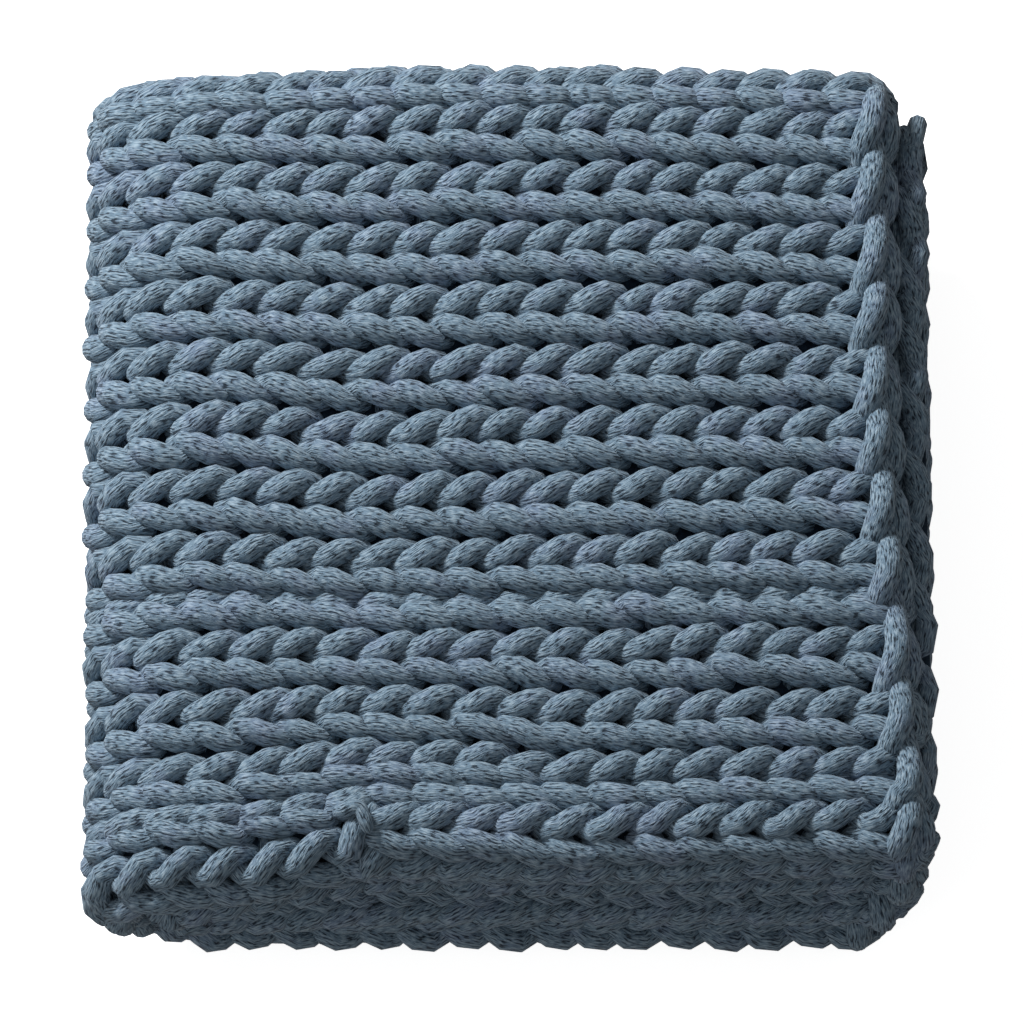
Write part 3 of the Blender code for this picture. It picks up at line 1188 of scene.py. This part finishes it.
@dataclass
class Studio:
    """The camera and the soft light of the photograph."""

    elevation: float = 70.0
    distance: float = 9.0
    seen_width: float = 0.4608
    target: tuple[float, float, float] = (-0.0025, 0.0, 0.063)
    sensor: float = 36.0
    key_place: tuple[float, float, float] = (-1.25, 1.35, 1.30)
    key_size: float = 0.6
    key_power: float = 64.0
    fill_place: tuple[float, float, float] = (-1.6, -1.3, 0.55)
    fill_size: float = 0.8
    fill_power: float = 5.0
    sky: float = 0.24

    def camera(self) -> bpy.types.Object:
        """Makes the camera: a long lens, high above the front of the throw.

        Returns:
            The camera, set as the scene's.
        """
        data = bpy.data.cameras.new("camera")
        data.sensor_width = self.sensor
        data.lens = self.sensor * self.distance / self.seen_width
        made = bpy.data.objects.new("camera", data)
        angle = math.radians(self.elevation)
        away = Vector((0.0, -math.cos(angle), math.sin(angle))) * self.distance
        made.location = Vector(self.target) + away
        made.rotation_euler = (math.pi / 2 - angle, 0.0, 0.0)
        bpy.context.scene.collection.objects.link(made)
        bpy.context.scene.camera = made
        return made

    def lamp(
        self, name: str, place: tuple[float, float, float], size: float, power: float
    ) -> bpy.types.Object:
        """Adds a square soft lamp that points at the throw.

        Args:
            name: its name.
            place: where it stands.
            size: the length of its side.
            power: its power in watts.

        Returns:
            The lamp.
        """
        data = bpy.data.lights.new(name, "AREA")
        data.size = size
        data.energy = power
        made = bpy.data.objects.new(name, data)
        made.location = place
        aim = Vector(self.target) - Vector(place)
        made.rotation_euler = aim.to_track_quat("-Z", "Y").to_euler()
        bpy.context.scene.collection.objects.link(made)
        return made

    def light(self) -> None:
        """Adds the key lamp at the back left, a low fill at the front left and a white sky."""
        bpy.context.scene.view_settings.view_transform = "Standard"
        self.lamp("key_lamp", self.key_place, self.key_size, self.key_power)
        self.lamp("fill_lamp", self.fill_place, self.fill_size, self.fill_power)
        world = bpy.data.worlds.new("white_sky")
        bpy.context.scene.world = world
        world.use_nodes = True
        sky = world.node_tree.nodes["Background"]
        sky.inputs["Color"].default_value = linear("FFFFFF")
        sky.inputs["Strength"].default_value = self.sky


def knit_pieces(cloth: FoldedCloth) -> dict[str, Surface]:
    """Builds every run of yarn that shows, by the part of the throw that it covers.

    Yarns have fewer points and sides where less of them is seen. The outer ones go past the
    outer front fold, and inside the stack only those around a fold or at an end are made.

    Args:
        cloth: the folded cloth that carries them.

    Returns:
        The surfaces by piece name.
    """
    stitches = Stitches(cloth)
    first, last = cloth.columns
    outer_front, back, inner_front = (
        round(cloth.column_at(place)) for place in (0.5, 1.5, 2.5))
    every = np.arange(stitches.rows)
    top, bend, under = np.split(every, stitches.bend_rows)
    ends = every[[0, 1, -2, -1]]
    edge, around = outer_front + 3, 2.5
    pieces = {
        name: stitches.tubes(rows, start, stop, steps, sides)
        for name, rows, start, stop, steps, sides in (
            ("top_stitches", top, first, edge, 18, 12),
            ("left_bend_stitches", bend, first, edge, 16, 12),
            ("underside_stitches", under, first, edge, 14, 10),
            ("inner_front_stitches", every, inner_front - around, inner_front + around, 14, 10),
            ("inner_back_stitches", every, back - around, back + around, 12, 8),
            ("inner_edge_stitches", every, last - around, last, 12, 8),
            ("right_end_stitches", ends, edge, last, 12, 8),
        )
    }
    chain = ChainEdge(cloth)
    pieces["upper_chain_edge"] = chain.tubes(at_far_end=False)
    pieces["lower_chain_edge"] = chain.tubes(at_far_end=True)
    pieces["yarn_end"] = YarnEnd(cloth).tube()
    return pieces


def main() -> None:
    """Builds the studio and the throw, and says what was made."""
    logging.basicConfig(level=logging.INFO, format="%(message)s")
    studio = Studio()
    studio.camera()
    studio.light()
    ground = PaleFloor()
    ground.build()
    ground.underlay()

    cloth = FoldedCloth()
    yarn = CottonTubeYarn().material()
    made = []
    for name, surface in knit_pieces(cloth).items():
        piece = surface.piece(name, yarn)
        made.append(piece)
        LOG.info("%s: %d faces", name, len(surface.quads) * 2 + len(surface.triangles))
    sheet = ClothSheet(cloth).surface()
    # the sheet's dark finish is painted shade in the holes between the stitches
    backs = sheet.piece("yarn_backs_painted_shade", PaintedShadeYarnBacks().material())
    LOG.info("yarn_backs_painted_shade: %d faces", len(sheet.quads) * 2)
    LOG.info("columns %.2f to %.2f, length %.3f", *cloth.columns, cloth.length)
    for piece in [backs, *made]:
        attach(piece, "root")
        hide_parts(NODE)


if __name__ == "__main__":
    main()
